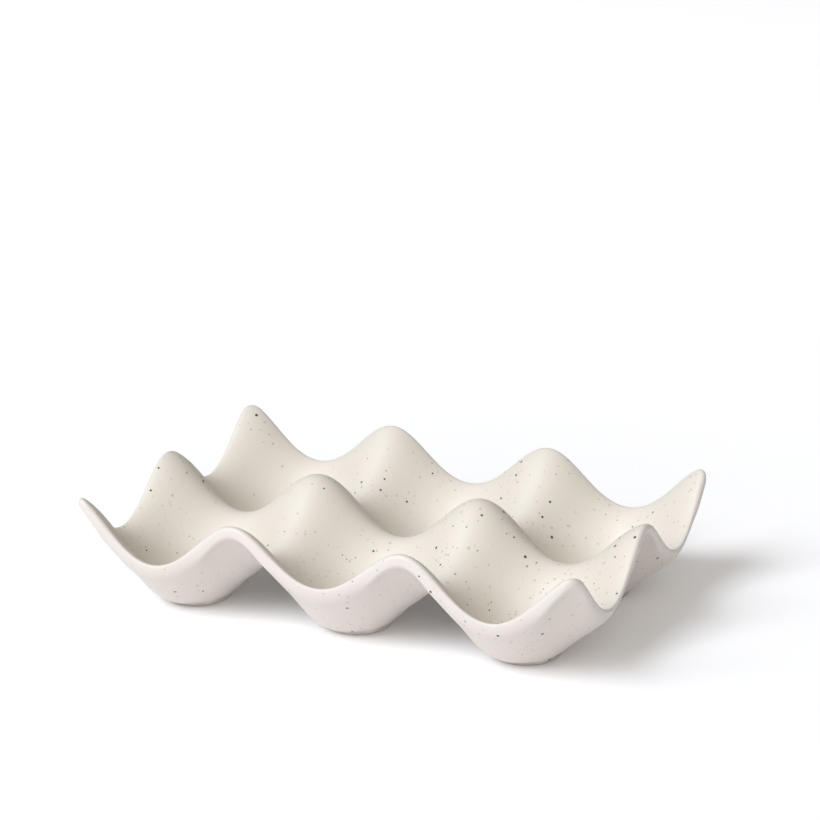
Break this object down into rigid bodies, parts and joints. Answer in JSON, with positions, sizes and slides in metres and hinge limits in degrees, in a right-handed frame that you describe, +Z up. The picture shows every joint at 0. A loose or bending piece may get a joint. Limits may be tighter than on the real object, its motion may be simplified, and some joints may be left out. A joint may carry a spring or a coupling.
{
  "type": "egg tray",
  "caption": "Wavy glazed stoneware tray whose rows of rounded cups between soft peaks each hold an egg, on low round feet.",
  "frame": {"origin": "middle of the tray's outline, on the plane that the feet stand on", "axes": "+X along a row of cups, +Y from the front row to the back row, +Z up"},
  "size_m": [0.2108, 0.1432, 0.0458],
  "materials": {
    "glaze": "satin off-white glaze with fine dark and tan specks",
    "bare_clay": "dry unglazed stoneware, warm buff"
  },
  "bodies": {
    "root": {"tray_body": "glaze", "foot_front_left": "bare_clay", "foot_front_middle": "bare_clay", "foot_front_right": "bare_clay", "foot_back_left": "bare_clay", "foot_back_middle": "bare_clay", "foot_back_right": "bare_clay"}
  },
  "joints": []
}
